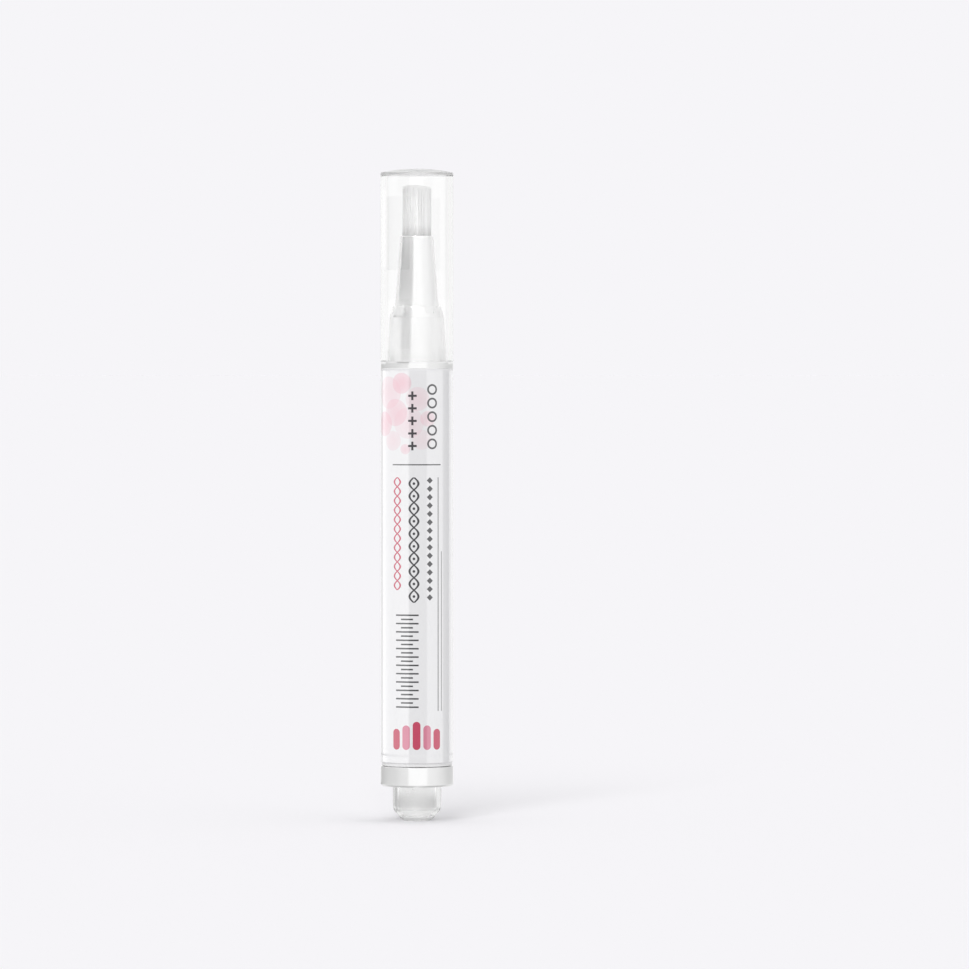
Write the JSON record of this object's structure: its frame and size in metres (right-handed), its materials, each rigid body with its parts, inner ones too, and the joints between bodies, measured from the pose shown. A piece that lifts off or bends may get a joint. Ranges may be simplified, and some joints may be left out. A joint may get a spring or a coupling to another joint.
{
  "type": "click-type oil pen with brush tip",
  "caption": "Slim round click pen that doses cuticle oil to a brush tip: push button at one end, clear cap at the other, screw-driven piston inside.",
  "frame": {"origin": "centre of the push button's flat foot, on which the pen stands", "axes": "+Z along the pen from the button to the cap's domed end; -Y faces the viewer"},
  "size_m": [0.014, 0.014, 0.1254],
  "materials": {
    "printed_gloss": "glossy white plastic with a fine printed stripe design",
    "white_plastic": "moulded white plastic, soft gloss",
    "natural_plastic": "moulded natural plastic, matt",
    "soft_white": "soft white plastic, matt",
    "clear_plastic": "clear moulded plastic, polished",
    "satin_metal": "satin silver",
    "spring_steel": "drawn spring wire",
    "seal_rubber": "smooth seal rubber",
    "bristle": "pale nylon filament"
  },
  "bodies": {
    "barrel": {"barrel": "printed_gloss", "front_ring": "satin_metal", "end_collar": "satin_metal", "rear_housing": "white_plastic", "fixed_cam": "natural_plastic", "return_spring": "spring_steel", "rotor_spring": "spring_steel", "screw_nut": "natural_plastic", "nozzle_sleeve": "white_plastic", "nozzle_seal": "seal_rubber", "tube_plug": "natural_plastic", "delivery_tube": "natural_plastic", "brush_holder": "white_plastic", "brush_bristles": "bristle"},
    "cap": {"cap_shell": "clear_plastic"},
    "button": {"button_cover": "clear_plastic", "button_core": "white_plastic"},
    "rotor": {"ratchet_rotor": "natural_plastic", "drive_sleeve": "white_plastic"},
    "piston": {"piston": "soft_white", "piston_seals": "seal_rubber"},
    "rod": {"screw_rod": "natural_plastic"}
  },
  "joints": [
    {"name": "cap_pull", "type": "slide", "parent": "barrel", "child": "cap", "axis": [0, 0, 1], "range_m": [0, 0.04]},
    {"name": "button_press", "type": "slide", "parent": "barrel", "child": "button", "axis": [0, 0, 1], "range_m": [0, 0.0021], "stiffness_N_per_m": 800, "springref_m": -0.0003, "deforming": ["return_spring"]},
    {"name": "rotor_turn", "type": "hinge", "parent": "barrel", "child": "rotor", "pos_m": [0, 0, 0.03], "axis": [0, 0, 1], "range_deg": [0, 5760]},
    {"name": "piston_slide", "type": "slide", "parent": "barrel", "child": "piston", "axis": [0, 0, 1], "range_m": [0, 0.032]},
    {"name": "rod_spin", "type": "hinge", "parent": "piston", "child": "rod", "pos_m": [0, 0, 0.045], "axis": [0, 0, 1], "range_deg": [0, 5760]}
  ],
  "couplings": [
    {"joint": "rotor_turn", "follows": "piston_slide", "rad_per_m": 3141.6},
    {"joint": "rod_spin", "follows": "piston_slide", "rad_per_m": 3141.6}
  ]
}
